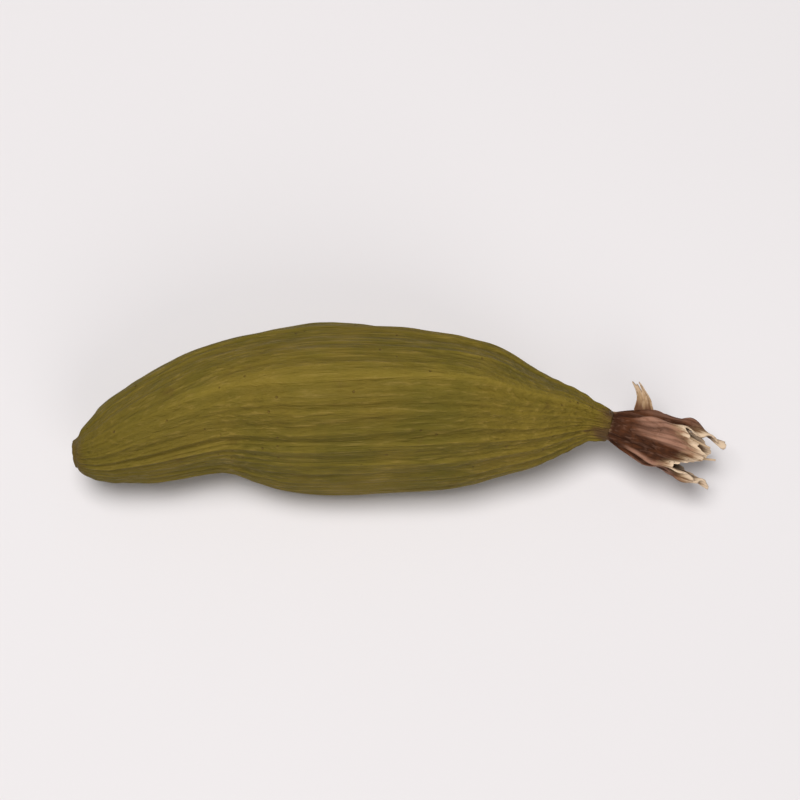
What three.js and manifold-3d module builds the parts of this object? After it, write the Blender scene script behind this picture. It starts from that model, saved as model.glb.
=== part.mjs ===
// A dried green cardamom pod lying on its flattest side: a three-sided ribbed husk with a blunt stalk
// scar at one end and a beak at the other, and the withered calyx of its flower on the end of the beak.
// Millimetres, +Z up, +X from the stalk scar to the calyx. The origin is the middle of the small flat
// spot that the pod rests on.

import * as THREE from "three";
import { mergeVertices } from "three/addons/utils/BufferGeometryUtils.js";
import Module from "manifold-3d";

const wasm = await Module();
wasm.setup();

const { degToRad } = THREE.MathUtils;
const LENGTHWISE = new THREE.Vector3(1, 0, 0);

// Husk outline: [distance from the stalk scar, radius, sideways bend of the middle line] at each station
const HUSK_STATIONS = [
  [0.0, 0.42, -1.05],
  [0.3, 0.72, -1.02],
  [0.9, 1.06, -0.86],
  [1.9, 1.45, -0.46],
  [4.3, 1.98, 0.31],
  [6.8, 2.45, 0.41],
  [9.3, 2.4, 0.4],
  [11.8, 2.11, 0.31],
  [13.4, 1.51, 0.11],
  [14.7, 0.92, 0.06],
  [15.4, 0.56, -0.04],
  [15.85, 0.47, -0.17],
];
const HUSK_LENGTH = HUSK_STATIONS.at(-1)[0];
const SCAR_DEPTH = 0.1; // the stalk scar's middle is sunk this far into the blunt end

// How the pod lies: the flat spot's middle, and the height and arch of the husk's middle line
const REST_ALONG = 7.9;
const REST_ASIDE = 0.4;
const AXIS_HEIGHT = 2.12;
const ARCH = 0.25; // the ends of the middle line lie this far below its top
const ARCH_HALF_SPAN = HUSK_LENGTH / 2;

// Three-sided section: how far the angles stand out, as a share of the radius, and how sharp they are
const ANGLE_COUNT = 3;
const ANGLE_RISE = 0.09;
const ANGLE_SHARPNESS = 0.014;
const TWIST = degToRad(16); // turn of the angles from the scar to the beak
const SEAM_RISE = 0.012; // thin raised seam along each angle, as a share of the radius
const SEAM_HALF_WIDTH = degToRad(3);

// Ribs: waves round the husk that drift along it, each [count, share of the radius, phase, drift]
const RIB_WAVES = [
  [18, 0.0075, 0.4, 1.5],
  [24, 0.008, 2.1, -1.1],
  [29, 0.0065, 4.0, 2.3],
];
const RIB_FADE = 0.06; // share of the length over which the ribs fade out at each end

// Dents: [distance from the scar, angle from the top ridge in degrees, depth, half-length, half-angle]
const DENTS = [
  [4.0, 112, 0.16, 1.3, 45],
  [10.4, 235, 0.16, 1.6, 28],
];

// Mesh of the husk: sides round it, and steps from end to end
const HUSK_SIDES = 120;
const HUSK_STEPS = 34;

// Calyx: a shrivelled tube that splits into torn lobes, and bends away to one side and down
const CALYX_GAP = 0.02; // between the beak's end and the tube
const CALYX_REACH = 3.6;
const CALYX_BEND_ASIDE = -0.1; // at its full reach
const CALYX_BEND_DOWN = -0.3;
const CALYX_SIDES = 14;
const CALYX_TUBE = [
  [0.0, 0.0],
  [0.0, 0.44],
  [0.3, 0.5],
  [0.9, 0.72],
  [1.6, 0.88],
  [2.2, 0.76],
  [1.9, 0.0],
]; // [distance from the beak, radius]
const LOBE_THICKNESS = 0.6;
const LOBE_TAPER = 0.45; // share of its width that a lobe loses towards its tip
const LOBE_SIDES = 10;
const LOBE_STEPS = 10;
// Lobes: [angle round the tube in degrees, root distance, length, width, flare outwards, curl in degrees]
const LOBES = [
  [20, 0.9, 2.1, 1.3, 0.16, 35],
  [116, 0.8, 2.5, 1.25, 0.32, -35],
  [205, 0.8, 2.4, 1.25, 0.24, 30],
  [290, 0.8, 2.7, 1.3, 0.24, -25],
];
const LOBE_RADIUS = 0.48; // distance of a lobe's middle from the tube's axis, at its root
// A scrap of bract that stands out of the tube's side and leans back towards the husk
const BRACT = { root: 1.0, length: 1.4, width: 0.75, turn: degToRad(108) };

const stationCurve = new THREE.CatmullRomCurve3(
  HUSK_STATIONS.map((station) => new THREE.Vector3(...station)),
  false,
  "catmullrom",
  0.5,
);

// The husk's middle line at a share of the station curve: centre, heading in the XY plane and radius
function huskStation(share) {
  const { x: along, y: radius, z: aside } = stationCurve.getPoint(share);
  const tangent = stationCurve.getTangent(share);
  const reach = (along - REST_ALONG) / ARCH_HALF_SPAN;
  return {
    along,
    radius,
    heading: Math.atan2(tangent.z, tangent.x),
    centre: new THREE.Vector3(
      along - REST_ALONG,
      aside - REST_ASIDE,
      AXIS_HEIGHT - ARCH * reach * reach,
    ),
  };
}

// Signed angle between two directions, from -pi to pi
function angleBetween(a, b) {
  return Math.atan2(Math.sin(a - b), Math.cos(a - b));
}

// Husk radius at an angle from the top ridge, for a station
function huskRadius(angle, { along, radius }) {
  const lengthShare = along / HUSK_LENGTH;
  const section =
    1 +
    ANGLE_RISE * Math.cos(ANGLE_COUNT * angle) +
    ANGLE_SHARPNESS * Math.cos(2 * ANGLE_COUNT * angle);

  const endShare = Math.min(lengthShare, 1 - lengthShare) / RIB_FADE;
  const fade = THREE.MathUtils.smoothstep(endShare, 0, 1);
  const spacing = (2 * Math.PI) / ANGLE_COUNT;
  const fromRidge = angle - spacing * Math.round(angle / spacing);
  let relief = SEAM_RISE * Math.exp(-((fromRidge / SEAM_HALF_WIDTH) ** 2));
  for (const [count, rise, phase, drift] of RIB_WAVES) {
    relief += rise * Math.cos(count * angle + phase + drift * lengthShare);
  }

  let dent = 0;
  for (const [place, direction, depth, halfLength, halfAngle] of DENTS) {
    const lengthwise = (along - place) / halfLength;
    const round = angleBetween(angle, degToRad(direction)) / degToRad(halfAngle);
    dent += depth * Math.exp(-(lengthwise ** 2) - round ** 2);
  }
  return radius * (section + fade * relief) - dent;
}

// A sphere's grid laid over the husk: its rows run from the beak to the scar, and its poles close the ends
function huskGeometry() {
  const geometry = new THREE.SphereGeometry(1, HUSK_SIDES, HUSK_STEPS);
  const position = geometry.getAttribute("position");
  for (let i = 0; i < position.count; i++) {
    const row = Math.floor(i / (HUSK_SIDES + 1));
    const column = (i % (HUSK_SIDES + 1)) % HUSK_SIDES;
    const share = THREE.MathUtils.clamp(1 - (row - 1) / (HUSK_STEPS - 2), 0, 1);
    const station = huskStation(share);
    const { centre, heading, along } = station;

    if (row === 0 || row === HUSK_STEPS) {
      const sunk = row === 0 ? 0 : SCAR_DEPTH;
      position.setXYZ(
        i,
        centre.x + sunk * Math.cos(heading),
        centre.y + sunk * Math.sin(heading),
        centre.z,
      );
      continue;
    }
    const angle = (2 * Math.PI * column) / HUSK_SIDES;
    const turned = angle + Math.PI / 2 - TWIST * (along / HUSK_LENGTH - 0.5);
    const radius = huskRadius(angle, station);
    const aside = radius * Math.cos(turned);
    position.setXYZ(
      i,
      centre.x - aside * Math.sin(heading),
      centre.y + aside * Math.cos(heading),
      Math.max(0, centre.z + radius * Math.sin(turned)),
    );
  }
  geometry.deleteAttribute("uv");
  geometry.computeVertexNormals();
  return geometry;
}

// A closed three.js geometry as a solid that can be joined to others
function solidOf(geometry) {
  const bare = new THREE.BufferGeometry();
  bare.setAttribute("position", geometry.getAttribute("position"));
  bare.setIndex(geometry.getIndex());
  const merged = mergeVertices(bare);
  const corners = merged.getIndex().array;
  const triVerts = [];
  for (let i = 0; i < corners.length; i += 3) {
    const [a, b, c] = corners.slice(i, i + 3);
    if (a !== b && b !== c && c !== a) triVerts.push(a, b, c);
  }
  return new wasm.Manifold(
    new wasm.Mesh({
      numProp: 3,
      vertProperties: merged.getAttribute("position").array,
      triVerts: new Uint32Array(triVerts),
    }),
  );
}

function geometryOf(solid) {
  const { vertProperties, triVerts } = solid.getMesh();
  const geometry = new THREE.BufferGeometry();
  geometry.setAttribute("position", new THREE.BufferAttribute(vertProperties, 3));
  geometry.setIndex(new THREE.BufferAttribute(triVerts, 1));
  return geometry;
}

// A thin tapered blade along +X from the origin that bends towards +Z and curls about its own length
function bladeGeometry(length, width, flare, curl) {
  const blade = new THREE.SphereGeometry(1, LOBE_SIDES, LOBE_STEPS);
  blade.rotateZ(-Math.PI / 2);
  blade.scale(length / 2, width / 2, LOBE_THICKNESS / 2);
  blade.translate(length / 2, 0, 0);
  const position = blade.getAttribute("position");
  const point = new THREE.Vector3();
  for (let i = 0; i < position.count; i++) {
    point.fromBufferAttribute(position, i);
    const share = point.x / length;
    point.y *= 1 - LOBE_TAPER * share;
    point.applyAxisAngle(LENGTHWISE, curl * share);
    point.z += flare * share * share;
    position.setXYZ(i, point.x, point.y, point.z);
  }
  return blade;
}

function calyxGeometry() {
  const profile = CALYX_TUBE.map(([along, radius]) => new THREE.Vector2(radius, along));
  const tube = new THREE.LatheGeometry(profile, CALYX_SIDES);
  tube.rotateZ(-Math.PI / 2);
  let calyx = solidOf(tube);
  for (const [angle, root, length, width, flare, curl] of LOBES) {
    const lobe = bladeGeometry(length, width, flare, degToRad(curl));
    lobe.translate(root, 0, LOBE_RADIUS);
    lobe.rotateX(degToRad(angle));
    calyx = calyx.add(solidOf(lobe));
  }
  const bract = bladeGeometry(BRACT.length, BRACT.width, 0, 0);
  bract.rotateZ(BRACT.turn);
  bract.translate(BRACT.root, 0, 0);
  calyx = calyx.add(solidOf(bract));

  const geometry = geometryOf(calyx);
  const position = geometry.getAttribute("position");
  for (let i = 0; i < position.count; i++) {
    const bend = (position.getX(i) / CALYX_REACH) ** 2;
    position.setY(i, position.getY(i) + CALYX_BEND_ASIDE * bend);
    position.setZ(i, position.getZ(i) + CALYX_BEND_DOWN * bend);
  }
  geometry.computeVertexNormals();
  return geometry;
}

function podHusk() {
  const olive = new THREE.MeshStandardMaterial({ color: 0x77692f, roughness: 0.6, metalness: 0 });
  const husk = new THREE.Mesh(huskGeometry(), olive);
  husk.name = "pod_husk";
  return husk;
}

function driedCalyx() {
  const brown = new THREE.MeshStandardMaterial({ color: 0x70482f, roughness: 0.85, metalness: 0 });
  const calyx = new THREE.Mesh(calyxGeometry(), brown);
  calyx.name = "dried_calyx";
  const { centre, heading } = huskStation(1);
  calyx.position.set(
    centre.x + CALYX_GAP * Math.cos(heading),
    centre.y + CALYX_GAP * Math.sin(heading),
    centre.z,
  );
  calyx.rotation.z = heading;
  return calyx;
}

const pod = new THREE.Group();
pod.add(podHusk(), driedCalyx());

export default pod;
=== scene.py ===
"""A dried green cardamom pod lying on its side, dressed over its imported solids.

The husk repeats the solid's outline, ridges, ribs and dents, and adds thin veins, seed lumps, crinkles,
wrinkles and the stalk scar. The withered calyx on the beak is a pleated, torn papery tube with a few dry
strands in its mouth and a scrap of bract on its side. Shapes are worked out in millimetres and made in
metres.
"""

import math

import bpy
import numpy as np
from bpy.props import FloatProperty, FloatVectorProperty, PointerProperty
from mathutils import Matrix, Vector


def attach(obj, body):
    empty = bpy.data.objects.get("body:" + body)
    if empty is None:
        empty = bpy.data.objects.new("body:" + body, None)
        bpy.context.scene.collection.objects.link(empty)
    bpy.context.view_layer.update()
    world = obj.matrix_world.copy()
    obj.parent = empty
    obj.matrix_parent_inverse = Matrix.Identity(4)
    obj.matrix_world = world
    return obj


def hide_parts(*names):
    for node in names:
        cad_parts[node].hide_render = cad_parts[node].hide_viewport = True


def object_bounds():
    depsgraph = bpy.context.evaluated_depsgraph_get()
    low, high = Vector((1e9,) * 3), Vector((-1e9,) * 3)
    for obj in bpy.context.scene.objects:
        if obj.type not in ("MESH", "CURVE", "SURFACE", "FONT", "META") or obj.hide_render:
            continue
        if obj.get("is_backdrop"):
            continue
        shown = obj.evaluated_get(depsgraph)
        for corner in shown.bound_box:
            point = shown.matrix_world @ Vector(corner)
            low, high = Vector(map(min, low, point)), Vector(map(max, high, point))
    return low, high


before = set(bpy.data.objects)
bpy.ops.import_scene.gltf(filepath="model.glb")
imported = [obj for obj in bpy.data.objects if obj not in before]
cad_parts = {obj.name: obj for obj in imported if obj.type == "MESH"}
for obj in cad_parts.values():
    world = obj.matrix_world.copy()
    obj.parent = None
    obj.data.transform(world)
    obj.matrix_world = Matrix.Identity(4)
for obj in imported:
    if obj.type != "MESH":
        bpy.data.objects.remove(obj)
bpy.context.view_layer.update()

bl_info = {
    "name": "Cardamom pod",
    "version": (1, 0, 0),
    "blender": (4, 5, 0),
    "location": "3D View > Sidebar > Cardamom",
    "description": "Builds a dried green cardamom pod with its withered calyx, and a plain stage for it",
    "category": "Object",
}

MM = 0.001
FULL_TURN = 2.0 * math.pi

# Husk outline: distance from the stalk scar, radius, sideways bend of the middle line
HUSK_STATIONS = np.array([
    [0.0, 0.42, -1.05],
    [0.3, 0.72, -1.02],
    [0.9, 1.06, -0.86],
    [1.9, 1.45, -0.46],
    [4.3, 1.98, 0.31],
    [6.8, 2.45, 0.41],
    [9.3, 2.4, 0.4],
    [11.8, 2.11, 0.31],
    [13.4, 1.51, 0.11],
    [14.7, 0.92, 0.06],
    [15.4, 0.56, -0.04],
    [15.85, 0.47, -0.17],
])
HUSK_LENGTH = HUSK_STATIONS[-1, 0]

# How the pod lies: the flat spot's middle, and the height and arch of the husk's middle line
REST_ALONG, REST_ASIDE = 7.9, 0.4
AXIS_HEIGHT = 2.12
ARCH = 0.25

# Three-sided section: its ridges, their sharpness, the width of the pale band along them that is partly a
# painted highlight, their turn along the husk, and their seams
RIDGES = 3
RIDGE_SPACING = FULL_TURN / RIDGES
RIDGE_SHARPNESS = 0.014
RIDGE_HALF_WIDTH = math.radians(13)
RIDGE_TWIST = math.radians(16)
SEAM_HALF_WIDTH = math.radians(3)
# The ridges' colour is a pale band, partly the husk's paler ridges and partly a painted highlight.
RIDGE_SHOWS = (0.02, 0.3)  # shares of the length between which the ridges' colour comes in

# Ribs: count round the husk, share of the radius, phase, drift along the husk
RIB_WAVES = ((18, 0.0075, 0.4, 1.5), (24, 0.008, 2.1, -1.1), (29, 0.0065, 4.0, 2.3))
RIB_FADE = 0.06  # share of the length over which they fade out at each end

# How the ribs show in the colour: their contrast, and its mean, swing and least in patches
RIB_CONTRAST = 0.8
RIB_PATCH_MEAN, RIB_PATCH_SWING, RIB_PATCH_LEAST = 0.55, 0.6, 0.1

# Dents: distance from the scar, angle from the top ridge in degrees, depth, half-length, half-angle
DENTS = ((4.0, 112, 0.16, 1.3, 45), (10.4, 235, 0.16, 1.6, 28))

# Skin of the husk: points round it, rows along it, and how far the rows are spaced by length
HUSK_SIDES = 480
HUSK_STEPS = 170
ROW_EVENNESS = 0.75
ROW_SAMPLES = 20  # samples of the outline for each row

# Thin veins along the husk: how many, their half-width, how far they sway, their fade at each end
VEINS = 45
VEIN_HALF_WIDTH = 0.055
VEIN_SWAY = math.radians(1.4)
VEIN_FADE = 0.012

LUMPS_PER_FACE = 9  # seeds that press each face out

# Cross wrinkles: their pitch and bend, and where the husk puckers, as shares of its length
WRINKLE_PITCH = 0.46
WRINKLE_BEND = 3.2
BEAK_PUCKER = (0.82, 0.95)
SCAR_PUCKER = (0.12, 0.03)
SCAR_PUCKERING, DENT_PUCKERING = 0.8, 0.45

# Smooth noise: how many waves, the most of them round the piece, the most per millimetre along it
WRINKLE_NOISE = (14, 7, 0.2)
CRINKLE_NOISES = ((40, 26, 0.9), (60, 84, 1.4))
RIB_PATCH_NOISE = (20, 10, 0.14)
SCAR_NOISE = (30, 14, 1.2)
RIM_NOISE = (30, 48, 0.0)
NOISE_REACH = 2.2  # standard deviations of the noise that reach its limits

# Stalk scar and beak's end, from the rim to the middle: share of the radius, distance into the husk
SCAR_PROFILE = (
    (1.0, 0.0), (0.97, -0.035), (0.92, -0.06), (0.84, -0.055), (0.76, -0.01), (0.68, 0.06),
    (0.6, 0.1), (0.52, 0.1), (0.45, 0.04), (0.38, -0.02), (0.2, -0.04), (0.0, -0.03))
BEAK_PROFILE = (
    (1.0, 0.0), (0.98, -0.035), (0.93, -0.065), (0.84, -0.08), (0.6, -0.07), (0.0, -0.05))
SCAR_STEPS, BEAK_STEPS = 24, 10
SCAR_ROUGHNESS = 0.03
SCAR_NOISE_SPAN = 2.0  # length of the noise from the scar's middle to its rim
SCAR_EDGE = (0.86, 0.66)  # shares of the radius between which the scar's colour comes in
STUB_EDGE = (0.52, 0.36)  # the same for the broken stub in its middle

# Calyx, in its own frame with +X out of the beak: its reach, its bend there, its flattening
CALYX_REACH = 3.6
CALYX_BEND_ASIDE = -0.1
CALYX_BEND_DOWN = -0.3
CALYX_FLATNESS = 0.86
CALYX_FLOOR = 1.1  # distance of the floor inside the tube
CALYX_NOTCH = 2.15  # distance of the notches between the lobes
CALYX_BORE = 0.05  # least radius inside the tube
CALYX_SIDES = 240
CALYX_STEPS = 90
# Tube: distance from the beak, radius before it is pleated
CALYX_RADII = (
    (-0.12, 0.4), (0.0, 0.44), (0.12, 0.455), (0.35, 0.55),
    (0.9, 0.77), (1.6, 0.94), (2.3, 0.96), (3.6, 0.82))
# Lobes: angle round the tube in degrees, tip distance, half-angle, flare at the tip
CALYX_LOBES = ((110, 3.0, 44, 0.02), (206, 3.3, 46, 0.26), (295, 3.2, 46, 0.12), (20, 3.55, 46, -0.22))
LOBE_POINT = 1.4
RIM_RAGGED = 0.09
# The inside's darkening is painted shade.
INSIDE_EDGE = (1.0, 0.9)  # shares of the way to the rim between which the inside darkens
FLOOR_SHARE = 0.3  # share of the way to the rim at the middle of the tube's floor

# Pleats, veins and crumpling of the tube: how many, and the heights of the last two
PLEATS, FINE_PLEATS = 7, 11
CALYX_VEINS = 36
CALYX_VEIN_HEIGHT = 0.016
CRUMPLE_WAVES = 26
CRUMPLE_HEIGHT = 0.016

# Strands in the calyx's mouth: start (y, z), end (x, y, z), sideways curl, width
STRANDS = (
    ((0.1, 0.12), (3.1, 0.34, 0.2), 0.16, 0.2),
    ((-0.16, 0.02), (3.35, -0.2, 0.12), -0.2, 0.24),
    ((0.0, -0.14), (2.8, 0.05, -0.28), 0.22, 0.18),
    ((-0.05, 0.18), (2.6, -0.46, 0.34), -0.12, 0.16),
)
STRAND_STEPS, STRAND_SIDES = 40, 12

# Scrap of bract on the tube's side: its root, and the curl, rise and lean of its length
BRACT_LENGTH, BRACT_WIDTH = 1.45, 0.7
BRACT_ROOT = (1.0, 0.26, 0.16)
BRACT_CURL = 1.25
BRACT_RISE = 0.55
BRACT_LEAN = -0.38
BRACT_HALF_THICKNESS = 0.035
BRACT_TAPER = 0.5
BRACT_RAGGED = 0.13
BRACT_EDGE_KNOTS = 9
BRACT_TEAR = 0.34
BRACT_TEETH = ((0.3, 6.0, 0.7), (0.2, 15.0, 2.0))  # share of the tear, pace across the end, phase
BRACT_STEPS, BRACT_ACROSS = 44, 30

# Stage: places and widths of the lights, half the floor's width, and how dark its patches are
KEY_PLACE, KEY_WIDTH = (-25.0, 4.0, 200.0), 120.0
FILL_PLACE, FILL_WIDTH = (70.0, -170.0, 120.0), 150.0
FLOOR_HALF = 600.0
FLOOR_SHADE = 0.96


class HuskSettings(bpy.types.PropertyGroup):
    """Sizes and colours of the husk."""

    ridge_rise: FloatProperty(
        name="Ridge rise", description="How far the ridges stand out, as a share of the radius",
        default=0.09, min=0.0, max=0.2, subtype="FACTOR")
    seam_rise: FloatProperty(
        name="Seam rise", description="Height of the thin seam on each ridge, as a share of the radius",
        default=0.012, min=0.0, max=0.05, subtype="FACTOR")
    vein_height: FloatProperty(
        name="Vein height", description="Height of the thin veins along the husk",
        default=0.06 * MM, min=0.0, max=0.1 * MM, unit="LENGTH")
    lump_height: FloatProperty(
        name="Seed lumps", description="How far the seeds inside press the husk out",
        default=0.045 * MM, min=0.0, max=0.2 * MM, unit="LENGTH")
    crinkle_height: FloatProperty(
        name="Crinkles", description="Height of the fine crinkles between the veins",
        default=0.009 * MM, min=0.0, max=0.05 * MM, unit="LENGTH")
    wrinkle_height: FloatProperty(
        name="Wrinkles", description="Height of the cross wrinkles near the beak, the dents and the scar",
        default=0.012 * MM, min=0.0, max=0.05 * MM, unit="LENGTH")
    face_colour: FloatVectorProperty(
        name="Face", description="Olive green of the faces",
        default=(0.168, 0.116, 0.013), subtype="COLOR", min=0.0, max=1.0)
    deep_colour: FloatVectorProperty(
        name="Deep green", description="Darker green patches on the faces",
        default=(0.119, 0.092, 0.009), subtype="COLOR", min=0.0, max=1.0)
    # Also laid on the ridges as a pale band that is partly a painted highlight.
    rib_colour: FloatVectorProperty(
        name="Ribs", description="Yellow green of the ribs and ridges",
        default=(0.285, 0.200, 0.026), subtype="COLOR", min=0.0, max=1.0)
    groove_colour: FloatVectorProperty(
        name="Grooves", description="Dark olive between the ribs",
        default=(0.085, 0.060, 0.008), subtype="COLOR", min=0.0, max=1.0)
    straw_colour: FloatVectorProperty(
        name="Straw", description="Straw of the dry fibres and the broken stub",
        default=(0.400, 0.265, 0.060), subtype="COLOR", min=0.0, max=1.0)
    blemish_colour: FloatVectorProperty(
        name="Blemishes", description="Brown of the scuffs, the specks and both ends",
        default=(0.105, 0.050, 0.016), subtype="COLOR", min=0.0, max=1.0)
    scar_colour: FloatVectorProperty(
        name="Stalk scar", description="Dark brown of the stalk scar and the beak's rim",
        default=(0.085, 0.045, 0.018), subtype="COLOR", min=0.0, max=1.0)


class CalyxSettings(bpy.types.PropertyGroup):
    """Sizes and colours of the withered calyx, its strands and its bract."""

    wall: FloatProperty(
        name="Wall", description="Thickness of the papery wall",
        default=0.07 * MM, min=0.02 * MM, max=0.2 * MM, unit="LENGTH")
    pleat_depth: FloatProperty(
        name="Pleats", description="Depth of the pleats of the shrivelled tube",
        default=0.28 * MM, min=0.0, max=0.4 * MM, unit="LENGTH")
    # Also laid as painted shade in the pleat valleys and inside the tube.
    neck_and_shade_colour: FloatVectorProperty(
        name="Neck", description="Dark brown of the neck, the folds and the inside",
        default=(0.040, 0.013, 0.005), subtype="COLOR", min=0.0, max=1.0)
    wall_colour: FloatVectorProperty(
        name="Wall colour", description="Red brown of the withered tube",
        default=(0.115, 0.038, 0.014), subtype="COLOR", min=0.0, max=1.0)
    # Pink brown of the raised folds, partly a painted highlight.
    crest_and_highlight_colour: FloatVectorProperty(
        name="Crests", description="Pink brown of the raised folds",
        default=(0.430, 0.225, 0.150), subtype="COLOR", min=0.0, max=1.0)
    tip_colour: FloatVectorProperty(
        name="Tips", description="Cream of the torn edges",
        default=(0.780, 0.590, 0.410), subtype="COLOR", min=0.0, max=1.0)
    strand_colour: FloatVectorProperty(
        name="Strands", description="Straw of the dry strands and the bract",
        default=(0.420, 0.265, 0.140), subtype="COLOR", min=0.0, max=1.0)


class StageSettings(bpy.types.PropertyGroup):
    """Floor, lights and camera."""

    floor_colour: FloatVectorProperty(
        name="Floor", description="Colour of the plain floor",
        default=(0.800, 0.765, 0.770), subtype="COLOR", min=0.0, max=1.0)
    key_power: FloatProperty(
        name="Key light", description="Power of the large overhead light",
        default=0.36, min=0.0, unit="POWER")
    fill_power: FloatProperty(
        name="Fill light", description="Power of the fill light",
        default=0.12, min=0.0, unit="POWER")
    ambient: FloatProperty(
        name="Ambient", description="Strength of the even light from all round", default=0.16, min=0.0)
    elevation: FloatProperty(
        name="Camera elevation", description="Camera's angle above the floor",
        default=math.radians(72), min=0.0, max=math.pi / 2, subtype="ANGLE")
    lens: FloatProperty(
        name="Lens", description="Focal length",
        default=100.0, min=10.0, max=300.0, subtype="DISTANCE_CAMERA")
    pod_share: FloatProperty(
        name="Pod share", description="Share of the picture's width that the pod takes",
        default=0.82, min=0.1, max=1.0, subtype="FACTOR")


def smoothstep(value, low, high):
    share = np.clip((value - low) / (high - low), 0.0, 1.0)
    return share * share * (3.0 - 2.0 * share)


def bump(distance, half_width):
    return np.exp(-((distance / half_width) ** 2))


def wave(phase):
    """A wave between 0 and 1."""
    return 0.5 + 0.5 * np.cos(phase)


def turn_between(angle, direction):
    """Signed angle from a direction, from minus half a turn to half a turn."""
    return (angle - direction + np.pi) % FULL_TURN - np.pi


def angles_round(sides):
    return FULL_TURN * np.arange(sides) / sides


def wave_noise(rng, angle, along, waves, most_round, most_along):
    """Smooth noise from -1 to 1 that closes round the piece; most_along is in waves per millimetre."""
    total = np.zeros(np.broadcast(angle, along).shape)
    for _ in range(waves):
        count = int(rng.integers(0, most_round + 1))
        pace = rng.uniform(-most_along, most_along)
        total += np.cos(count * angle + FULL_TURN * pace * along + rng.uniform(0.0, FULL_TURN))
    return np.clip(total * math.sqrt(2.0 / waves) / NOISE_REACH, -1.0, 1.0)


def husk_station(share):
    """Distance, radius, middle line and heading of the husk at shares of its smooth station curve."""
    points = HUSK_STATIONS
    spans = len(points) - 1
    padded = np.vstack([2 * points[0] - points[1], points, 2 * points[-1] - points[-2]])
    place = np.clip(share, 0.0, 1.0) * spans
    first = np.minimum(place.astype(int), spans - 1)
    step = (place - first)[:, None]
    before, start, end, after = (padded[first + i] for i in range(4))
    start_pull, end_pull = 0.5 * (end - before), 0.5 * (after - start)
    square = -3 * start + 3 * end - 2 * start_pull - end_pull
    cube = 2 * start - 2 * end + start_pull + end_pull
    along, radius, aside = (start + start_pull * step + square * step**2 + cube * step**3).T
    pull = start_pull + 2 * square * step + 3 * cube * step**2
    reach = (along - REST_ALONG) / (HUSK_LENGTH / 2)
    centre = np.stack([along - REST_ALONG, aside - REST_ASIDE, AXIS_HEIGHT - ARCH * reach**2], axis=1)
    return along, radius, centre, np.arctan2(pull[:, 2], pull[:, 0])


def husk_rows():
    """Shares of the station curve for the rows of the skin, spaced mostly by length."""
    shares = np.linspace(0.0, 1.0, ROW_SAMPLES * HUSK_STEPS)
    lengths = husk_station(shares)[0] / HUSK_LENGTH
    spaced = ROW_EVENNESS * lengths + (1.0 - ROW_EVENNESS) * shares
    return np.interp(np.linspace(0.0, 1.0, HUSK_STEPS), spaced, shares)


def beak_end():
    """Centre and heading of the beak's end, where the calyx sits."""
    _, _, centre, heading = husk_station(np.array([1.0]))
    return centre[0], heading[0]


def ring_faces(rings, sides):
    """Quads between closed rings that follow each other along +X, with a fan at each end."""
    column = np.arange(sides)
    after = (column + 1) % sides
    faces = []
    for ring in range(rings - 1):
        low, high = ring * sides, (ring + 1) * sides
        quads = np.stack([low + column, low + after, high + after, high + column], axis=1)
        faces.extend(quads.tolist())
    first, last = rings * sides, rings * sides + 1
    end = (rings - 1) * sides
    faces.extend([first, int(b), int(a)] for a, b in zip(column, after))
    faces.extend([last, int(end + a), int(end + b)] for a, b in zip(column, after))
    return faces


def slit_faces(start, sides):
    """Faces that close a flattened ring straight across, from its upper side to its lower one."""
    half = sides // 2
    faces = [[start, start + 1, start + sides - 1]]
    for i in range(1, half - 1):
        faces.append([start + i, start + i + 1, start + sides - i - 1, start + sides - i])
    faces.append([start + half - 1, start + half, start + half + 1])
    return faces


def grid_points(grid):
    """Points of rings, followed by the middles of the first and the last ring."""
    return np.concatenate([grid.reshape(-1, 3), grid[0].mean(0)[None], grid[-1].mean(0)[None]])


def grid_values(values, first, last):
    """Values at the points of rings, followed by those at the two middles."""
    return np.concatenate([values.ravel(), [first, last]])


def add_object(name, data):
    added = bpy.data.objects.new(name, data)
    bpy.context.scene.collection.objects.link(added)
    return added


def add_piece(name, points_mm, faces, attributes, material, node):
    """A smooth mesh piece in metres that carries its attributes and stands for a node."""
    mesh = bpy.data.meshes.new(name)
    mesh.from_pydata((np.asarray(points_mm) * MM).tolist(), [], faces)
    for key, values in attributes.items():
        values = np.asarray(values, dtype=np.float32)
        vector = values.ndim == 2
        layer = mesh.attributes.new(key, "FLOAT_VECTOR" if vector else "FLOAT", "POINT")
        layer.data.foreach_set("vector" if vector else "value", values.ravel())
    mesh.shade_smooth()
    mesh.validate()
    mesh.materials.append(material)
    piece = add_object(name, mesh)
    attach(piece, "root")
    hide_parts(node)


def set_input(tree, socket, value):
    """Link a socket from another one, or set its value; a colour has no alpha of its own."""
    if isinstance(value, bpy.types.NodeSocket):
        tree.links.new(value, socket)
    elif socket.type == "RGBA":
        socket.default_value = (*value, 1.0)
    else:
        socket.default_value = value


def add_node(tree, kind, inputs=None, **settings):
    """A node with its settings, and its inputs set from values or linked from sockets."""
    node = tree.nodes.new(kind)
    for key, value in settings.items():
        setattr(node, key, value)
    for key, value in (inputs or {}).items():
        set_input(tree, node.inputs[key], value)
    return node


def attribute(tree, name, output="Fac"):
    return add_node(tree, "ShaderNodeAttribute", attribute_name=name).outputs[output]


def mix_colour(tree, mask, first, second):
    node = add_node(tree, "ShaderNodeMix", {0: mask, 6: first, 7: second}, data_type="RGBA")
    return node.outputs[2]


def math_node(tree, operation, *values):
    return add_node(tree, "ShaderNodeMath", dict(enumerate(values)), operation=operation).outputs[0]


def map_range(tree, value, start, full, to_start=0.0, to_full=1.0):
    limits = {"From Min": start, "From Max": full, "To Min": to_start, "To Max": to_full}
    node = add_node(tree, "ShaderNodeMapRange", {"Value": value, **limits}, interpolation_type="SMOOTHSTEP")
    return node.outputs["Result"]


def bump_normal(tree, height, distance_mm, strength=1.0):
    depth = {"Distance": distance_mm * MM, "Strength": strength}
    return add_node(tree, "ShaderNodeBump", {"Height": height, **depth}).outputs["Normal"]


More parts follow.
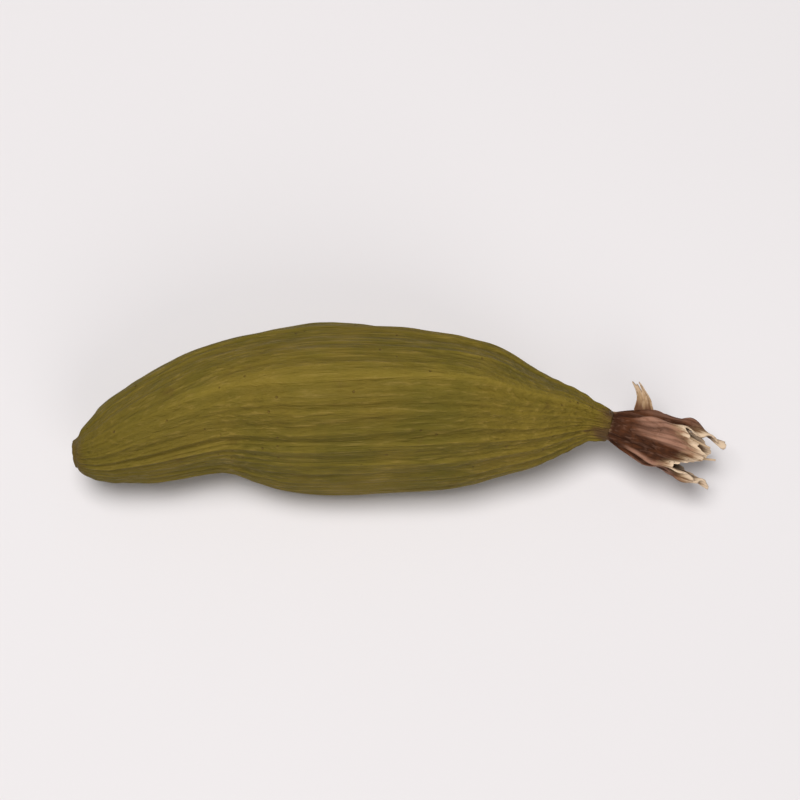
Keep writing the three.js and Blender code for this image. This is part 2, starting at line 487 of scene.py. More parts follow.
def new_group(name, numbers, results):
    """An empty shader node group that takes a vector and numbers, and its inner sockets."""
    group = bpy.data.node_groups.new(name, "ShaderNodeTree")
    group.interface.new_socket("Vector", in_out="INPUT", socket_type="NodeSocketVector")
    for label, default in numbers.items():
        socket = group.interface.new_socket(label, in_out="INPUT", socket_type="NodeSocketFloat")
        socket.default_value = default
    for label in results:
        group.interface.new_socket(label, in_out="OUTPUT", socket_type="NodeSocketFloat")
    return group, group.nodes.new("NodeGroupInput").outputs, group.nodes.new("NodeGroupOutput").inputs


def fibre_grain_group(name):
    """Fine fibres along the piece: a mask of pale fibres and a height."""
    group, given, result = new_group(
        name, {"Scale": 6.0, "Stretch": 0.08, "Threshold": 0.5}, ("Fibres", "Height"))
    stretch = add_node(group, "ShaderNodeCombineXYZ", {0: given["Stretch"], 1: 1.0, 2: 1.0})
    laid = add_node(group, "ShaderNodeVectorMath", {0: given["Vector"], 1: stretch.outputs[0]},
                    operation="MULTIPLY")
    noise = add_node(group, "ShaderNodeTexNoise",
                     {"Vector": laid.outputs[0], "Scale": given["Scale"], "Detail": 4.0, "Roughness": 0.62})
    height = noise.outputs["Fac"]
    softness = 0.16
    upper = math_node(group, "ADD", given["Threshold"], softness)
    group.links.new(map_range(group, height, given["Threshold"], upper), result["Fibres"])
    group.links.new(height, result["Height"])
    return group


def mottle_group(name):
    """Two sizes of soft patches: a mask of the patches."""
    group, given, result = new_group(name, {"Scale": 0.6, "Low": 0.4, "High": 0.62}, ("Patches",))
    finer_by, small_share = 4.3, 0.35
    broad = add_node(group, "ShaderNodeTexNoise",
                     {"Vector": given["Vector"], "Scale": given["Scale"], "Detail": 3.0, "Distortion": 0.4})
    finer = math_node(group, "MULTIPLY", given["Scale"], finer_by)
    small = add_node(group, "ShaderNodeTexNoise",
                     {"Vector": given["Vector"], "Scale": finer, "Detail": 4.0, "Roughness": 0.6})
    blend = add_node(group, "ShaderNodeMix",
                     {0: small_share, 2: broad.outputs["Fac"], 3: small.outputs["Fac"]})
    group.links.new(map_range(group, blend.outputs[0], given["Low"], given["High"]), result["Patches"])
    return group


def speck_group(name):
    """Small round specks in a share of a grid of cells: a mask of the specks."""
    group, given, result = new_group(name, {"Scale": 2.0, "Size": 0.2, "Share": 0.3}, ("Specks",))
    core_share = 0.45
    cells = add_node(group, "ShaderNodeTexVoronoi", {"Vector": given["Vector"], "Scale": given["Scale"]})
    core = math_node(group, "MULTIPLY", given["Size"], core_share)
    spot = map_range(group, cells.outputs["Distance"], given["Size"], core)
    chance = add_node(group, "ShaderNodeSeparateColor", {0: cells.outputs["Color"]}).outputs[0]
    kept = math_node(group, "LESS_THAN", chance, given["Share"])
    group.links.new(math_node(group, "MULTIPLY", spot, kept), result["Specks"])
    return group


GROUP_MAKERS = {"Fibre grain": fibre_grain_group, "Dry mottle": mottle_group, "Specks": speck_group}


def place_group(tree, name, **inputs):
    """Outputs of a node that uses a group, which is made when it is first needed."""
    node = tree.nodes.new("ShaderNodeGroup")
    node.node_tree = bpy.data.node_groups.get(name) or GROUP_MAKERS[name](name)
    for key, value in inputs.items():
        set_input(tree, node.inputs[key], value)
    return node.outputs


class Paint:
    """Tones that are laid over each other in a material's nodes."""

    def __init__(self, tree, colour):
        self.tree = tree
        self.colour = colour

    def lay(self, tone, mask):
        self.colour = mix_colour(self.tree, mask, self.colour, tone)

    def tint(self, tone, mask, share):
        """Lay a share of a tone where a mask is."""
        self.lay(tone, math_node(self.tree, "MULTIPLY", mask, share))

    def fade(self, tone, value, start, full, share):
        """Lay a tone that grows from nothing where a value is at start to a share where it is at full."""
        self.lay(tone, map_range(self.tree, value, start, full, 0.0, share))


def new_material(name):
    material = bpy.data.materials.new(name)
    material.use_nodes = True
    tree = material.node_tree
    return material, tree, tree.nodes["Principled BSDF"]


def finish_shader(tree, shader, colour, roughness, normal, specular):
    tree.links.new(colour, shader.inputs["Base Color"])
    tree.links.new(roughness, shader.inputs["Roughness"])
    tree.links.new(normal, shader.inputs["Normal"])
    shader.inputs["Specular IOR Level"].default_value = specular


def husk_material(settings):
    """Olive husk: yellow-green ridges and veins, dark grooves, brown ends, scuffs and specks; the pale band
    on the ridges is partly a painted highlight.
    """
    material, tree, shader = new_material("cardamom husk")
    grain = attribute(tree, "grain", "Vector")
    rib, vein = attribute(tree, "rib"), attribute(tree, "vein")
    seam, ridge = attribute(tree, "seam"), attribute(tree, "ridge")
    along, scar, stub = attribute(tree, "along"), attribute(tree, "scar"), attribute(tree, "stub")

    patches = place_group(tree, "Dry mottle", Vector=grain, Scale=0.3, Low=0.38, High=0.64)["Patches"]
    warm = place_group(tree, "Dry mottle", Vector=grain, Scale=0.5, Low=0.5, High=0.7)["Patches"]
    scuffs = place_group(tree, "Dry mottle", Vector=grain, Scale=0.75, Low=0.6, High=0.72)["Patches"]
    fibres = place_group(tree, "Fibre grain", Vector=grain, Scale=10.0, Stretch=0.06, Threshold=0.53)
    streaks = place_group(tree, "Fibre grain", Vector=grain, Scale=2.6, Stretch=0.09, Threshold=0.5)
    specks = place_group(tree, "Specks", Vector=grain, Scale=4.1, Size=0.2, Share=0.14)["Specks"]

    deep, yellow, groove = settings.deep_colour, settings.rib_colour, settings.groove_colour
    straw, brown, dark_brown = settings.straw_colour, settings.blemish_colour, settings.scar_colour
    paint = Paint(tree, settings.face_colour)
    paint.lay(deep, patches)
    paint.fade(groove, rib, start=0.5, full=0.0, share=0.07)
    paint.fade(yellow, rib, start=0.5, full=1.0, share=0.08)
    paint.tint(yellow, warm, share=0.22)
    paint.tint(yellow, streaks["Fibres"], share=0.14)
    # Pale band along each ridge: partly the husk's paler ridges, partly a painted highlight.
    paint.tint(yellow, ridge, share=0.2)
    paint.fade(groove, vein, start=0.12, full=0.0, share=0.1)
    paint.tint(yellow, vein, share=0.3)
    paint.tint(straw, fibres["Fibres"], share=0.26)
    paint.fade(groove, fibres["Height"], start=0.45, full=0.32, share=0.34)
    paint.tint(yellow, seam, share=0.35)
    paint.tint(brown, scuffs, share=0.35)

    wander = 0.16
    ragged_along = math_node(tree, "MULTIPLY_ADD", streaks["Height"], wander, along)
    paint.fade(deep, ragged_along, start=0.36, full=0.18, share=0.35)
    paint.fade(brown, ragged_along, start=1.05, full=1.085, share=0.75)
    paint.fade(dark_brown, ragged_along, start=1.065, full=1.09, share=0.7)
    paint.tint(brown, specks, share=0.5)
    paint.fade(brown, along, start=0.025, full=0.0, share=0.4)
    paint.lay(dark_brown, scar)
    broken = math_node(tree, "MULTIPLY", stub, map_range(tree, fibres["Height"], start=0.38, full=0.56))
    paint.tint(straw, broken, share=0.8)

    patch_roughness, speck_depth = 0.06, 0.3
    fibre_roughness = map_range(tree, fibres["Height"], start=0.3, full=0.7, to_start=0.72, to_full=0.5)
    roughness = math_node(tree, "MULTIPLY_ADD", patches, patch_roughness, fibre_roughness)
    sunk = math_node(tree, "MULTIPLY", specks, speck_depth)
    relief = math_node(tree, "SUBTRACT", fibres["Height"], sunk)
    normal = bump_normal(tree, relief, distance_mm=0.09)
    finish_shader(tree, shader, paint.colour, roughness, normal, specular=0.15)
    return material


def calyx_material(settings):
    """Withered paper: dark brown neck, painted shade in the folds and inside the tube, red-brown wall,
    pink-brown crests that are partly a painted highlight, cream torn edges.
    """
    material, tree, shader = new_material("withered calyx")
    grain = attribute(tree, "grain", "Vector")
    tip, fold = attribute(tree, "tip"), attribute(tree, "fold")
    vein, inside = attribute(tree, "vein"), attribute(tree, "inside")
    fibres = place_group(tree, "Fibre grain", Vector=grain, Scale=11.0, Stretch=0.12, Threshold=0.5)
    patches = place_group(tree, "Dry mottle", Vector=grain, Scale=1.3, Low=0.42, High=0.62)["Patches"]
    specks = place_group(tree, "Specks", Vector=grain, Scale=6.0, Size=0.2, Share=0.3)["Specks"]

    neck, wall, crest_and_highlight = settings.neck_and_shade_colour, settings.wall_colour, settings.crest_and_highlight_colour
    tan, cream = settings.strand_colour, settings.tip_colour
    paint = Paint(tree, wall)
    paint.lay(neck, patches)
    paint.fade(neck, tip, start=0.3, full=0.0, share=0.85)
    raised_fibres = map_range(tree, fibres["Height"], start=0.4, full=0.58)
    join = math_node(tree, "MULTIPLY", map_range(tree, tip, start=0.07, full=0.0), raised_fibres)
    paint.tint(tan, join, share=0.6)
    # Painted shade: dark brown in the pleat valleys.
    paint.fade(neck, fold, start=0.5, full=0.1, share=0.85)
    # Pink-brown raised folds past the neck, partly a painted highlight.
    past_neck = map_range(tree, tip, start=0.2, full=0.5)
    raised = math_node(tree, "MULTIPLY", map_range(tree, fold, start=0.48, full=0.88), past_neck)
    paint.tint(crest_and_highlight, raised, share=0.8)
    paint.tint(neck, vein, share=0.5)
    paint.tint(crest_and_highlight, fibres["Fibres"], share=0.14)

    wander = 0.3
    ragged_tip = math_node(tree, "MULTIPLY_ADD", fibres["Height"], wander, tip)
    paint.fade(tan, ragged_tip, start=0.88, full=1.08, share=0.6)
    paint.fade(cream, ragged_tip, start=1.0, full=1.16, share=0.92)
    paint.fade(wall, fibres["Height"], start=0.47, full=0.36, share=0.4)
    # Painted shade inside the tube.
    paint.tint(neck, inside, share=0.55)
    paint.tint(neck, specks, share=0.5)

    roughness = map_range(tree, fibres["Height"], start=0.3, full=0.7, to_start=0.9, to_full=0.7)
    normal = bump_normal(tree, fibres["Height"], distance_mm=0.05)
    finish_shader(tree, shader, paint.colour, roughness, normal, specular=0.14)
    return material


def strand_material(settings):
    """Dry straw strands and bract: brown roots and patches, cream fibres and tips."""
    material, tree, shader = new_material("dry strands")
    grain, tip = attribute(tree, "grain", "Vector"), attribute(tree, "tip")
    fibres = place_group(tree, "Fibre grain", Vector=grain, Scale=14.0, Stretch=0.1, Threshold=0.48)
    patches = place_group(tree, "Dry mottle", Vector=grain, Scale=2.2, Low=0.45, High=0.65)["Patches"]

    brown, cream = settings.wall_colour, settings.tip_colour
    paint = Paint(tree, settings.strand_colour)
    paint.tint(brown, patches, share=0.6)
    paint.tint(cream, fibres["Fibres"], share=0.35)
    paint.fade(cream, tip, start=0.7, full=1.0, share=0.45)
    paint.fade(brown, tip, start=0.66, full=0.36, share=0.85)

    roughness = map_range(tree, fibres["Height"], start=0.3, full=0.7, to_start=0.9, to_full=0.68)
    normal = bump_normal(tree, fibres["Height"], distance_mm=0.02, strength=0.7)
    finish_shader(tree, shader, paint.colour, roughness, normal, specular=0.3)
    return material


def floor_material(settings):
    """Pale floor with a faint mottle."""
    material, tree, shader = new_material("pale floor")
    place = add_node(tree, "ShaderNodeTexCoord").outputs["Object"]
    noise = add_node(tree, "ShaderNodeTexNoise", {"Vector": place, "Scale": 40.0, "Detail": 3.0})
    pale = settings.floor_colour
    shade = tuple(FLOOR_SHADE * c for c in pale)
    tree.links.new(mix_colour(tree, noise.outputs["Fac"], pale, shade), shader.inputs["Base Color"])
    shader.inputs["Roughness"].default_value = 0.7
    return material


def husk_veins(rng, angle, along, radius):
    """Share of the full height, from 0 to 1, of the thin veins that sway and fade along the husk."""
    sway_paces, fade_paces = (0.03, 0.12), (0.04, 0.16)  # waves per millimetre
    widths, strengths = (0.8, 1.3), (0.4, 1.0)
    mean_strength, jitter, crowding = 0.62, 0.32, 0.3
    spacing = FULL_TURN / VEINS
    veins = np.zeros(angle.shape)
    for vein in range(VEINS):
        pace, fade_pace = rng.uniform(*sway_paces), rng.uniform(*fade_paces)
        sway = VEIN_SWAY * np.cos(FULL_TURN * (pace * along + rng.uniform()))
        fading = (1.0 - mean_strength) * np.cos(FULL_TURN * (fade_pace * along + rng.uniform()))
        direction = (vein + rng.uniform(-jitter, jitter)) * spacing
        half_width = np.minimum(VEIN_HALF_WIDTH * rng.uniform(*widths), crowding * spacing * radius)
        line = bump(turn_between(angle, direction + sway) * radius, half_width)
        veins = np.maximum(veins, rng.uniform(*strengths) * (mean_strength + fading) * line)
    return veins


def seed_lumps(rng, angle, along, radius):
    """Share of the lump height by which the seeds under each face press the husk out."""
    first, span, spread = 2.6, 10.6, 26.0  # the spread is in degrees
    staggers, sizes, strengths = (0.2, 0.8), (0.7, 1.1), (0.4, 1.0)
    lumps = np.zeros(angle.shape)
    for face in range(RIDGES):
        for seed in range(LUMPS_PER_FACE):
            place = first + span * (seed + rng.uniform(*staggers)) / LUMPS_PER_FACE
            side = (face + 0.5) * RIDGE_SPACING + math.radians(rng.uniform(-spread, spread))
            size = rng.uniform(*sizes)
            lengthwise = rng.uniform(*strengths) * bump(along - place, size)
            lumps += lengthwise * bump(turn_between(angle, side) * radius, size)
    return lumps


def husk_dents(angle, along):
    """Depth of the dents, and from 0 to 1 how far into a dent a point is."""
    depth, dented = np.zeros(angle.shape), np.zeros(angle.shape)
    for place, direction, deepest, half_length, half_angle in DENTS:
        lengthwise = bump(along - place, half_length)
        hollow = lengthwise * bump(turn_between(angle, math.radians(direction)), math.radians(half_angle))
        depth += deepest * hollow
        dented = np.maximum(dented, hollow)
    return depth, dented


def husk_relief(settings, rng, angle, along, radius):
    """Husk radius at each angle and distance, and what the colours need to know of its relief."""
    share = along / HUSK_LENGTH
    from_end = np.minimum(share, 1.0 - share)
    fade, vein_fade = smoothstep(from_end, 0.0, RIB_FADE), smoothstep(from_end, 0.0, VEIN_FADE)
    section = 1.0 + settings.ridge_rise * np.cos(RIDGES * angle)
    section += RIDGE_SHARPNESS * np.cos(2 * RIDGES * angle)
    from_ridge = angle - RIDGE_SPACING * np.round(angle / RIDGE_SPACING)
    seam = bump(from_ridge, SEAM_HALF_WIDTH)
    ribs = sum(rise * np.cos(count * angle + phase + drift * share)
               for count, rise, phase, drift in RIB_WAVES)
    rib_most = sum(rise for _, rise, _, _ in RIB_WAVES)
    dent, dented = husk_dents(angle, along)

    veins = husk_veins(rng, angle, along, radius)
    lumps = seed_lumps(rng, angle, along, radius)
    puckered = np.maximum(smoothstep(share, *BEAK_PUCKER), SCAR_PUCKERING * smoothstep(share, *SCAR_PUCKER))
    puckered = np.maximum(puckered, DENT_PUCKERING * dented)
    bend = WRINKLE_BEND * wave_noise(rng, angle, along, *WRINKLE_NOISE)
    wrinkles = np.cos(FULL_TURN * along / WRINKLE_PITCH + bend) * puckered
    crinkles = sum(wave_noise(rng, angle, along, *noise) for noise in CRINKLE_NOISES)
    patchy = RIB_PATCH_MEAN + RIB_PATCH_SWING * wave_noise(rng, angle, along, *RIB_PATCH_NOISE)

    reach = radius * (section + fade * (settings.seam_rise * seam + ribs)) - dent
    reach += fade * settings.lump_height / MM * lumps
    reach += vein_fade * settings.vein_height / MM * veins
    reach += vein_fade * (settings.wrinkle_height * wrinkles + settings.crinkle_height * crinkles) / MM
    shown = smoothstep(share, *RIDGE_SHOWS) * fade
    return reach, {
        "rib": 0.5 + RIB_CONTRAST * ribs / rib_most * np.maximum(patchy, RIB_PATCH_LEAST),
        "vein": veins * vein_fade,
        "seam": seam * shown,
        # Pale band along each ridge, partly a painted highlight
        "ridge": bump(from_ridge, RIDGE_HALF_WIDTH) * shown,
    }


def end_rows(profile, steps):
    """Rows that close an end, from just inside its edge to just short of its middle."""
    shares, depths = zip(*profile)
    known = np.linspace(0.0, 1.0, len(profile))
    place = np.linspace(0.0, 1.0, steps + 2)[1:-1]
    return np.interp(place, known, shares)[:, None], np.interp(place, known, depths)[:, None]


def husk_values(scar, body, beak):
    """A value for each point of the husk: its scar's rows, its body's and its beak's, and both middles."""
    parts = ((scar, SCAR_STEPS), (body, HUSK_STEPS), (beak, BEAK_STEPS))
    whole = np.concatenate([np.broadcast_to(values, (rows, HUSK_SIDES)) for values, rows in parts])
    return grid_values(whole, whole[0].mean(), whole[-1].mean())


def build_husk(settings):
    rng = np.random.default_rng(seed=41)
    angle = angles_round(HUSK_SIDES)[None, :]
    along, radius, centre, heading = husk_station(husk_rows())
    around = np.broadcast_to(angle, (HUSK_STEPS, HUSK_SIDES))
    reach, masks = husk_relief(settings, rng, around, along[:, None], radius[:, None])

    scar_shares, scar_depths = end_rows(SCAR_PROFILE, SCAR_STEPS)
    beak_shares, beak_depths = end_rows(BEAK_PROFILE, BEAK_STEPS)
    rough = wave_noise(rng, angle, scar_shares * SCAR_NOISE_SPAN, *SCAR_NOISE)
    scar_depths = scar_depths + SCAR_ROUGHNESS * rough * (1.0 - scar_shares**4)

    def lay(ring, shares, ahead_by):
        """Rings of points round the middle line at one row, moved along it by a distance."""
        turned = angle + np.pi / 2 - RIDGE_TWIST * (along[ring] / HUSK_LENGTH - 0.5)
        out = reach[ring] * shares
        aside = out * np.cos(turned)
        ahead, across = math.cos(heading[ring]), math.sin(heading[ring])
        return np.stack([
            centre[ring, 0] - aside * across + ahead_by * ahead,
            centre[ring, 1] + aside * ahead + ahead_by * across,
            centre[ring, 2] + out * np.sin(turned)], axis=2)

    scar = lay(0, scar_shares, scar_depths)[::-1]
    body = [lay(ring, np.ones((1, 1)), 0.0) for ring in range(HUSK_STEPS)]
    beak = lay(HUSK_STEPS - 1, beak_shares, -beak_depths)
    grid = np.concatenate([scar, *body, beak])
    grid[:, :, 2] = np.maximum(grid[:, :, 2], 0.0)

    scar_shares = scar_shares[::-1]
    flat_along = husk_values(along[0], along[:, None], along[-1])
    flat_reach = husk_values(reach[0] * scar_shares, reach, reach[-1] * beak_shares)
    flat_angle = grid_values(np.broadcast_to(angle, grid.shape[:2]), 0.0, 0.0)
    grain = [flat_along, flat_reach * np.cos(flat_angle), flat_reach * np.sin(flat_angle)]
    attributes = {
        "rib": husk_values(masks["rib"][0], masks["rib"], masks["rib"][-1]),
        "vein": husk_values(0.0, masks["vein"], 0.0),
        "seam": husk_values(0.0, masks["seam"], 0.0),
        "ridge": husk_values(0.0, masks["ridge"], 0.0),
        "along": flat_along / HUSK_LENGTH,
        "scar": husk_values(smoothstep(scar_shares, *SCAR_EDGE), 0.0, 0.0),
        "stub": husk_values(smoothstep(scar_shares, *STUB_EDGE), 0.0, 0.0),
        "grain": np.stack(grain, axis=1),
    }
    faces = ring_faces(len(grid), HUSK_SIDES)
    add_piece("pod_husk_skin", grid_points(grid), faces, attributes, husk_material(settings),
              "pod_husk")


def set_on_beak(points):
    """Points of the calyx's own frame, bent and moved to the beak's end."""
    points = np.array(points, dtype=float)
    bend = np.maximum(points[..., 0], 0.0) ** 2 / CALYX_REACH**2
    points[..., 1] += CALYX_BEND_ASIDE * bend
    points[..., 2] += CALYX_BEND_DOWN * bend
    centre, heading = beak_end()
    ahead, across = math.cos(heading), math.sin(heading)
    x, y = points[..., 0].copy(), points[..., 1].copy()
    points[..., 0] = centre[0] + x * ahead - y * across
    points[..., 1] = centre[1] + x * across + y * ahead
    points[..., 2] += centre[2]
    return points


def add_calyx_piece(name, local, faces, attributes, material):
    add_piece(name, set_on_beak(local), faces, attributes, material, "dried_calyx")


def calyx_rim(angle):
    """Distance of the tube's torn rim, and the flare of its lobes, at each angle."""
    rng = np.random.default_rng(seed=17)
    rim, flare = np.full(CALYX_SIDES, CALYX_NOTCH), np.zeros(CALYX_SIDES)
    for direction, tip, half_angle, spread in CALYX_LOBES:
        away = np.abs(turn_between(angle, math.radians(direction))) / math.radians(half_angle)
        lobe = np.clip(1.0 - away**LOBE_POINT, 0.0, 1.0)
        rim = np.maximum(rim, CALYX_NOTCH + (tip - CALYX_NOTCH) * lobe)
        flare += spread * lobe
    return rim + RIM_RAGGED * wave_noise(rng, angle, 0.0, *RIM_NOISE), flare


def crumple(angle, x):
    """Height of the tube's crumpling at distances from the beak."""
    rng = np.random.default_rng(seed=23)
    counts, fastest, latest, comes_in = (2, 12), 1.1, 6.28, (0.1, 1.8)
    total = np.zeros(x.shape)
    for _ in range(CRUMPLE_WAVES):
        count = int(rng.integers(*counts))
        pace, phase = rng.uniform(-fastest, fastest), rng.uniform(0.0, latest)
        total += np.cos(count * angle + FULL_TURN * pace * x + phase)
    return CRUMPLE_HEIGHT * total * smoothstep(x, *comes_in)


def tube_wall(settings, angle, x, flare):
    """Outer radius, fold and vein of the pleated tube at distances from the beak."""
    full_at, neck_share, flare_power = 1.3, 0.25, 1.5
    crowding, drift, waver, waver_pace = 0.35, 0.12, 0.8, 1.7
    fine_share, fine_drift, fine_phase = 0.35, -0.9, 1.0
    wander, wander_pace, wander_turns, narrowness = 1.5, 0.9, 3.0, 3

    distances, radii = zip(*CALYX_RADII)
    grown = smoothstep(x, 0.0, full_at)
    crowded = angle + crowding * np.sin(2 * angle) + drift * x
    broad = wave(PLEATS * crowded + waver * np.sin(waver_pace * x))
    fine = wave(FINE_PLEATS * angle + fine_drift * x + fine_phase)
    fold = (1.0 - fine_share) * broad + fine_share * fine
    wandered = wander * np.sin(wander_pace * x + wander_turns * angle)
    vein = wave(CALYX_VEINS * angle + wandered) ** narrowness * grown

    past_notch = np.maximum(x - CALYX_NOTCH, 0.0) / (CALYX_REACH - CALYX_NOTCH)
    depth = (settings.pleat_depth / MM) * (neck_share + (1.0 - neck_share) * grown)
    radius = np.interp(x, distances, radii) + flare * past_notch**flare_power
    radius = radius - depth * (1.0 - fold) + CALYX_VEIN_HEIGHT * vein
    return radius + crumple(angle, x), fold, vein


def build_calyx_tube(settings):
    angle = angles_round(CALYX_SIDES)
    rim, flare = calyx_rim(angle)
    share = np.linspace(0.0, 1.0, CALYX_STEPS)[:, None]
    neck = CALYX_RADII[0][0]
    outer = neck + (rim - neck) * share
    inner = (CALYX_FLOOR + (rim - CALYX_FLOOR) * share)[::-1]
    outer_radius, outer_fold, outer_vein = tube_wall(settings, angle, outer, flare)
    inner_radius, inner_fold, inner_vein = tube_wall(settings, angle, inner, flare)
    inner_radius = np.maximum(inner_radius - settings.wall / MM, CALYX_BORE)

    x = np.concatenate([outer, inner])
    radius = np.concatenate([outer_radius, inner_radius])
    grid = np.stack([x, radius * np.cos(angle), CALYX_FLATNESS * radius * np.sin(angle)], axis=2)
    local = grid_points(grid)
    # Painted shade inside the tube, dark from just inside the rim down to its floor.
    inside = np.concatenate([np.zeros_like(outer), smoothstep(inner / rim, *INSIDE_EDGE)])
    attributes = {
        "tip": grid_values(x / rim, 0.0, FLOOR_SHARE),
        "fold": grid_values(np.concatenate([outer_fold, inner_fold]), 0.0, 0.0),
        "vein": grid_values(np.concatenate([outer_vein, inner_vein]), 0.0, 0.0),
        "inside": grid_values(inside, 0.0, 1.0),
        "grain": local,
    }
    faces = ring_faces(len(grid), CALYX_SIDES)
    add_calyx_piece("calyx_tube", local, faces, attributes, calyx_material(settings))


def strand_mesh(start, end, curl, width, rng):
    """One flattened, tapering strand from inside the tube to its own end."""
    root_x, swings, lift_share, lift_turn = 0.9, 1.3, 0.6, 2.0
    waver_height, waver_pace, latest = 0.02, 9.0, 6.0
    twist, narrow, swelling, taper = 1.9, 0.55, 1.15, 0.55
    half_thickness, thinning, cup = 0.045, 0.4, 0.25

    share = np.linspace(0.0, 1.0, STRAND_STEPS)[:, None]
    root = np.array([root_x, *start])
    x, y, z = np.split(root + (np.array(end) - root) * share, 3, axis=1)
    swing = curl * np.sin(np.pi * share * swings) * share
    lift = lift_share * swing * np.cos(lift_turn * share)
    waver = waver_height * np.sin(waver_pace * share + rng.uniform(0.0, latest))
    turn = rng.uniform(0.0, np.pi) + twist * share

    swell = narrow + (1.0 - narrow) * np.sin(np.pi * np.minimum(share * swelling, 1.0))
    broad = 0.5 * width * swell * (1.0 - taper * share**3)
    thick = half_thickness * (1.0 - thinning * share)
    round_angle = angles_round(STRAND_SIDES)
    flat_y = broad * np.cos(round_angle)
    flat_z = thick * np.sin(round_angle) + cup * broad * np.cos(round_angle) ** 2
    y = y + swing + flat_y * np.cos(turn) - flat_z * np.sin(turn)
    z = z + lift + waver + flat_y * np.sin(turn) + flat_z * np.cos(turn)
    grid = np.stack([np.broadcast_to(x, y.shape), y, z], axis=2)
    tip = grid_values(np.repeat(share, STRAND_SIDES), 0.0, 1.0)
    return grid_points(grid), tip, ring_faces(STRAND_STEPS, STRAND_SIDES)


def build_strands(settings):
    rng = np.random.default_rng(seed=7)
    points, tips, faces = [], [], []
    count = 0
    for start, end, curl, width in STRANDS:
        strand_points, tip, strand_faces = strand_mesh(start, end, curl, width, rng)
        faces.extend([[corner + count for corner in face] for face in strand_faces])
        points.append(strand_points)
        tips.append(tip)
        count += len(strand_points)
    local = np.concatenate(points)
    attributes = {"tip": np.concatenate(tips), "grain": local}
    add_calyx_piece("calyx_strands", local, faces, attributes, strand_material(settings))


def build_bract(settings):
    """A thin curled scrap with torn edges that stands out of the tube's side, closed all round."""
    rng = np.random.default_rng(seed=29)
    taper_power, tear_mean, cup = 1.5, 0.5, 0.6
    pleat_height, pleat_pace, pleat_drift = 0.035, 20.0, 3.0
    columns = 2 * BRACT_ACROSS
    round_angle = angles_round(columns)
    sideways, over = np.cos(round_angle), -np.sin(round_angle)
    share = np.linspace(0.0, 1.0, BRACT_STEPS)[:, None]
    knots = np.linspace(0.0, 1.0, BRACT_EDGE_KNOTS)
    edges = [1.0 + BRACT_RAGGED * np.interp(share, knots, rng.uniform(-1.0, 1.0, BRACT_EDGE_KNOTS))
             for _ in range(2)]
    half = 0.5 * BRACT_WIDTH * (1.0 - BRACT_TAPER * share**taper_power)
    across = half * sideways * np.where(sideways > 0.0, edges[0], edges[1])
    teeth = sum(depth * np.cos(pace * sideways + phase) for depth, pace, phase in BRACT_TEETH)
    reach = share * (1.0 - BRACT_TEAR * (tear_mean + teeth))
    curl = BRACT_CURL * reach
    out = BRACT_LENGTH * np.sin(curl) / BRACT_CURL
    lift = BRACT_RISE * BRACT_LENGTH * (1.0 - np.cos(curl)) / BRACT_CURL
    pleat = pleat_height * np.cos(pleat_pace * across + pleat_drift * share)
    face = BRACT_HALF_THICKNESS * over + cup * across**2 + pleat
    x = BRACT_ROOT[0] + across + BRACT_LEAN * BRACT_LENGTH * reach**2
    y = BRACT_ROOT[1] + out - face * np.sin(curl)
    z = BRACT_ROOT[2] + lift + face * np.cos(curl)
    grid = np.stack([x, y, z], axis=2)
    local = grid_points(grid)[:-1]
    tip = np.concatenate([np.repeat(share, columns), [0.0]])
    attributes = {"tip": tip, "grain": local[:, [1, 0, 2]]}
    faces = ring_faces(BRACT_STEPS, columns)[:-columns]
    faces += slit_faces((BRACT_STEPS - 1) * columns, columns)
    add_calyx_piece("calyx_bract", local, faces, attributes, strand_material(settings))


def add_floor(settings):
    half = FLOOR_HALF * MM
    corners = [(-half, -half, 0), (half, -half, 0), (half, half, 0), (-half, half, 0)]
    mesh = bpy.data.meshes.new("floor")
    mesh.from_pydata(corners, [], [(0, 1, 2, 3)])
    mesh.materials.append(floor_material(settings))
    floor = add_object("floor", mesh)
    floor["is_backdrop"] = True


def add_area_light(name, place_mm, width_mm, power, aim):
    light = bpy.data.lights.new(name, "AREA")
    light.shape = "DISK"
    light.size = width_mm * MM
    light.energy = power
    lamp = add_object(name, light)
    lamp.location = Vector(place_mm) * MM
    lamp.rotation_euler = (aim - lamp.location).to_track_quat("-Z", "Y").to_euler()


def add_ambient(settings):
    world = bpy.data.worlds.new("studio")
    world.use_nodes = True
    background = world.node_tree.nodes["Background"]
    background.inputs["Color"].default_value = (1.0, 1.0, 1.0, 1.0)
    background.inputs["Strength"].default_value = settings.ambient
    bpy.context.scene.world = world


def add_camera(settings, aim, pod_length):
    camera_data = bpy.data.cameras.new("camera")
    camera_data.lens = settings.lens
    camera = add_object("camera", camera_data)
    back = Vector((0.0, -math.cos(settings.elevation), math.sin(settings.elevation)))
    distance = pod_length / settings.pod_share * settings.lens / camera_data.sensor_width
    camera.location = aim + back * distance
    camera.rotation_euler = (-back).to_track_quat("-Z", "Y").to_euler()
    camera_data.clip_start = 0.05 * distance
    camera_data.clip_end = 10.0
    bpy.context.scene.camera = camera


def set_stage(settings):
    add_floor(settings)
    low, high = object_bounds()
    middle = (low + high) / 2
    add_area_light("key", KEY_PLACE, KEY_WIDTH, settings.key_power, middle)
    add_area_light("fill", FILL_PLACE, FILL_WIDTH, settings.fill_power, middle)
    add_ambient(settings)
    add_camera(settings, middle, high.x - low.x)
    bpy.context.scene.view_settings.view_transform = "Standard"


class CARDAMOM_OT_husk(bpy.types.Operator):
    """Build the ribbed three-sided husk"""

    bl_idname = "cardamom.build_husk"
    bl_label = "Build husk"

    def execute(self, context):
        build_husk(context.scene.cardamom_husk)
        return {"FINISHED"}


class CARDAMOM_OT_calyx(bpy.types.Operator):
    """Build the withered calyx tube on the beak"""

    bl_idname = "cardamom.build_calyx"
    bl_label = "Build calyx"

    def execute(self, context):
        build_calyx_tube(context.scene.cardamom_calyx)
        return {"FINISHED"}


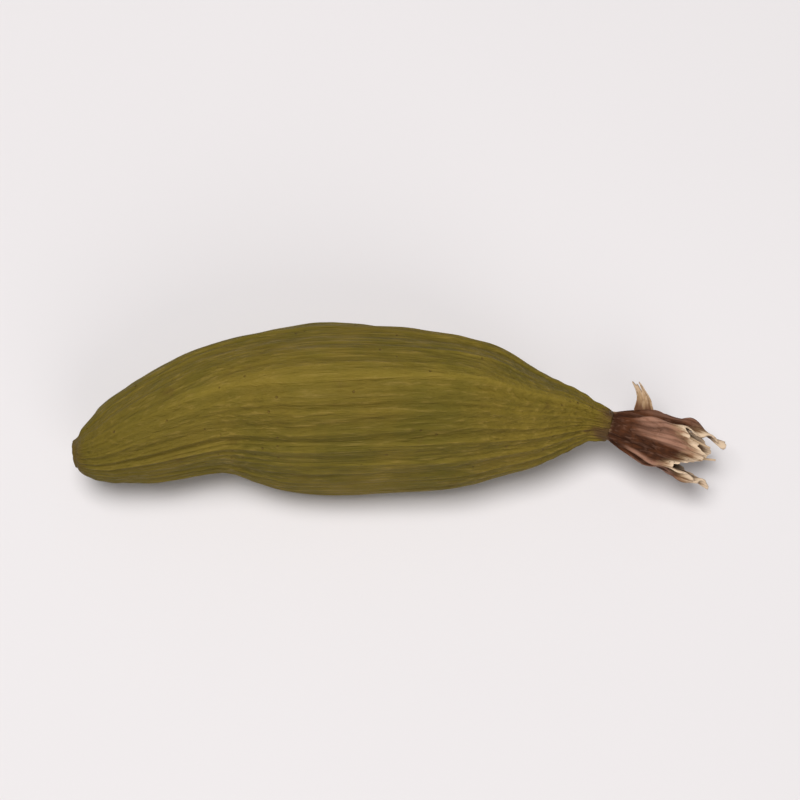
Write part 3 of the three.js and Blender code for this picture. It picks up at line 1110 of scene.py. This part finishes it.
class CARDAMOM_OT_strands(bpy.types.Operator):
    """Build the dry strands in the calyx's mouth"""

    bl_idname = "cardamom.build_strands"
    bl_label = "Build strands"

    def execute(self, context):
        build_strands(context.scene.cardamom_calyx)
        return {"FINISHED"}


class CARDAMOM_OT_bract(bpy.types.Operator):
    """Build the scrap of bract on the calyx's side"""

    bl_idname = "cardamom.build_bract"
    bl_label = "Build bract"

    def execute(self, context):
        build_bract(context.scene.cardamom_calyx)
        return {"FINISHED"}


class CARDAMOM_OT_stage(bpy.types.Operator):
    """Set the floor, the lights and the camera"""

    bl_idname = "cardamom.set_stage"
    bl_label = "Set stage"

    def execute(self, context):
        set_stage(context.scene.cardamom_stage)
        return {"FINISHED"}


class CARDAMOM_PT_panel(bpy.types.Panel):
    """The pod's settings and operators"""

    bl_idname = "CARDAMOM_PT_panel"
    bl_label = "Cardamom pod"
    bl_space_type = "VIEW_3D"
    bl_region_type = "UI"
    bl_category = "Cardamom"

    def draw(self, context):
        scene = context.scene
        for settings in (scene.cardamom_husk, scene.cardamom_calyx, scene.cardamom_stage):
            box = self.layout.box()
            for name in settings.__annotations__:
                box.prop(settings, name)
        for operator in OPERATORS:
            self.layout.operator(operator.bl_idname)


OPERATORS = (CARDAMOM_OT_husk, CARDAMOM_OT_calyx, CARDAMOM_OT_strands, CARDAMOM_OT_bract, CARDAMOM_OT_stage)
CLASSES = (HuskSettings, CalyxSettings, StageSettings, *OPERATORS, CARDAMOM_PT_panel)


def register():
    for cls in CLASSES:
        bpy.utils.register_class(cls)
    bpy.types.Scene.cardamom_husk = PointerProperty(type=HuskSettings)
    bpy.types.Scene.cardamom_calyx = PointerProperty(type=CalyxSettings)
    bpy.types.Scene.cardamom_stage = PointerProperty(type=StageSettings)


def unregister():
    del bpy.types.Scene.cardamom_stage
    del bpy.types.Scene.cardamom_calyx
    del bpy.types.Scene.cardamom_husk
    for cls in reversed(CLASSES):
        bpy.utils.unregister_class(cls)


def main():
    register()
    bpy.ops.cardamom.build_husk()
    bpy.ops.cardamom.build_calyx()
    bpy.ops.cardamom.build_strands()
    bpy.ops.cardamom.build_bract()
    bpy.ops.cardamom.set_stage()


if __name__ == "__main__":
    main()
